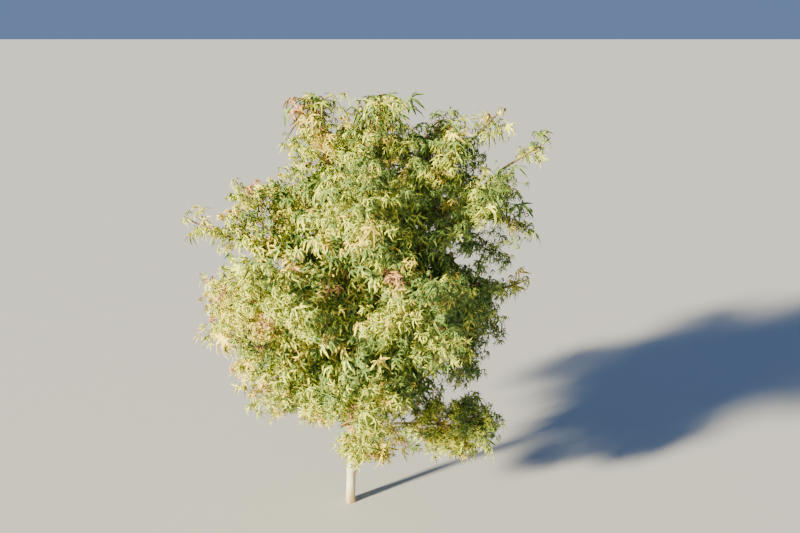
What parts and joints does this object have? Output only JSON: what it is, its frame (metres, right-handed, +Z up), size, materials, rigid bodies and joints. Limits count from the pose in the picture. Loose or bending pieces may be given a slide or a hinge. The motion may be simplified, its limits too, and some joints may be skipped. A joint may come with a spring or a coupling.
{
  "type": "japanese maple tree",
  "caption": "Young variegated japanese maple: a short trunk that forks low into steep boughs, with airy masses of pointed, star-shaped leaves in a rounded, open crown.",
  "frame": {"origin": "centre of the flat cut at ground level, under the trunk", "axes": "+Z up the trunk, +X towards the tree's right side as the picture shows it, -Y towards the side that the picture looks at"},
  "size_m": [1.1761, 1.0794, 1.4002],
  "materials": {
    "trunk_bark": "smooth young bark, matt",
    "bough_bark": "smooth young bark, matt",
    "foliage": "thin leaves, soft satin"
  },
  "bodies": {
    "root": {"trunk": "trunk_bark", "bough_top_middle": "bough_bark", "bough_top_left": "bough_bark", "bough_top_back": "bough_bark", "bough_top_front": "bough_bark", "bough_front_left": "bough_bark", "bough_front_right": "bough_bark", "bough_left_upper": "bough_bark", "bough_left_tip": "bough_bark", "bough_left_mid": "bough_bark", "bough_right_upper": "bough_bark", "bough_top_right": "bough_bark", "bough_top_right_tip": "bough_bark", "bough_right_tip": "bough_bark", "bough_right_mid": "bough_bark", "bough_right_mid_tip": "bough_bark", "bough_back_left": "bough_bark", "bough_back_left_low": "bough_bark", "bough_back_right": "bough_bark", "bough_back_middle": "bough_bark", "bough_back_right_low": "bough_bark", "bough_left_low": "bough_bark", "bough_front_low": "bough_bark", "bough_right_low": "bough_bark", "bough_front_skirt": "bough_bark", "bough_right_skirt": "bough_bark", "foliage_top_middle": "foliage", "foliage_top_left": "foliage", "foliage_top_back": "foliage", "foliage_top_front": "foliage", "foliage_front_left": "foliage", "foliage_front_right": "foliage", "foliage_left_upper": "foliage", "foliage_left_tip": "foliage", "foliage_left_mid": "foliage", "foliage_right_upper": "foliage", "foliage_top_right": "foliage", "foliage_top_right_tip": "foliage", "foliage_right_tip": "foliage", "foliage_right_mid": "foliage", "foliage_right_mid_tip": "foliage", "foliage_back_left": "foliage", "foliage_back_left_low": "foliage", "foliage_back_right": "foliage", "foliage_back_middle": "foliage", "foliage_back_right_low": "foliage", "foliage_left_low": "foliage", "foliage_front_low": "foliage", "foliage_right_low": "foliage", "foliage_front_skirt": "foliage", "foliage_right_skirt": "foliage"}
  },
  "joints": []
}
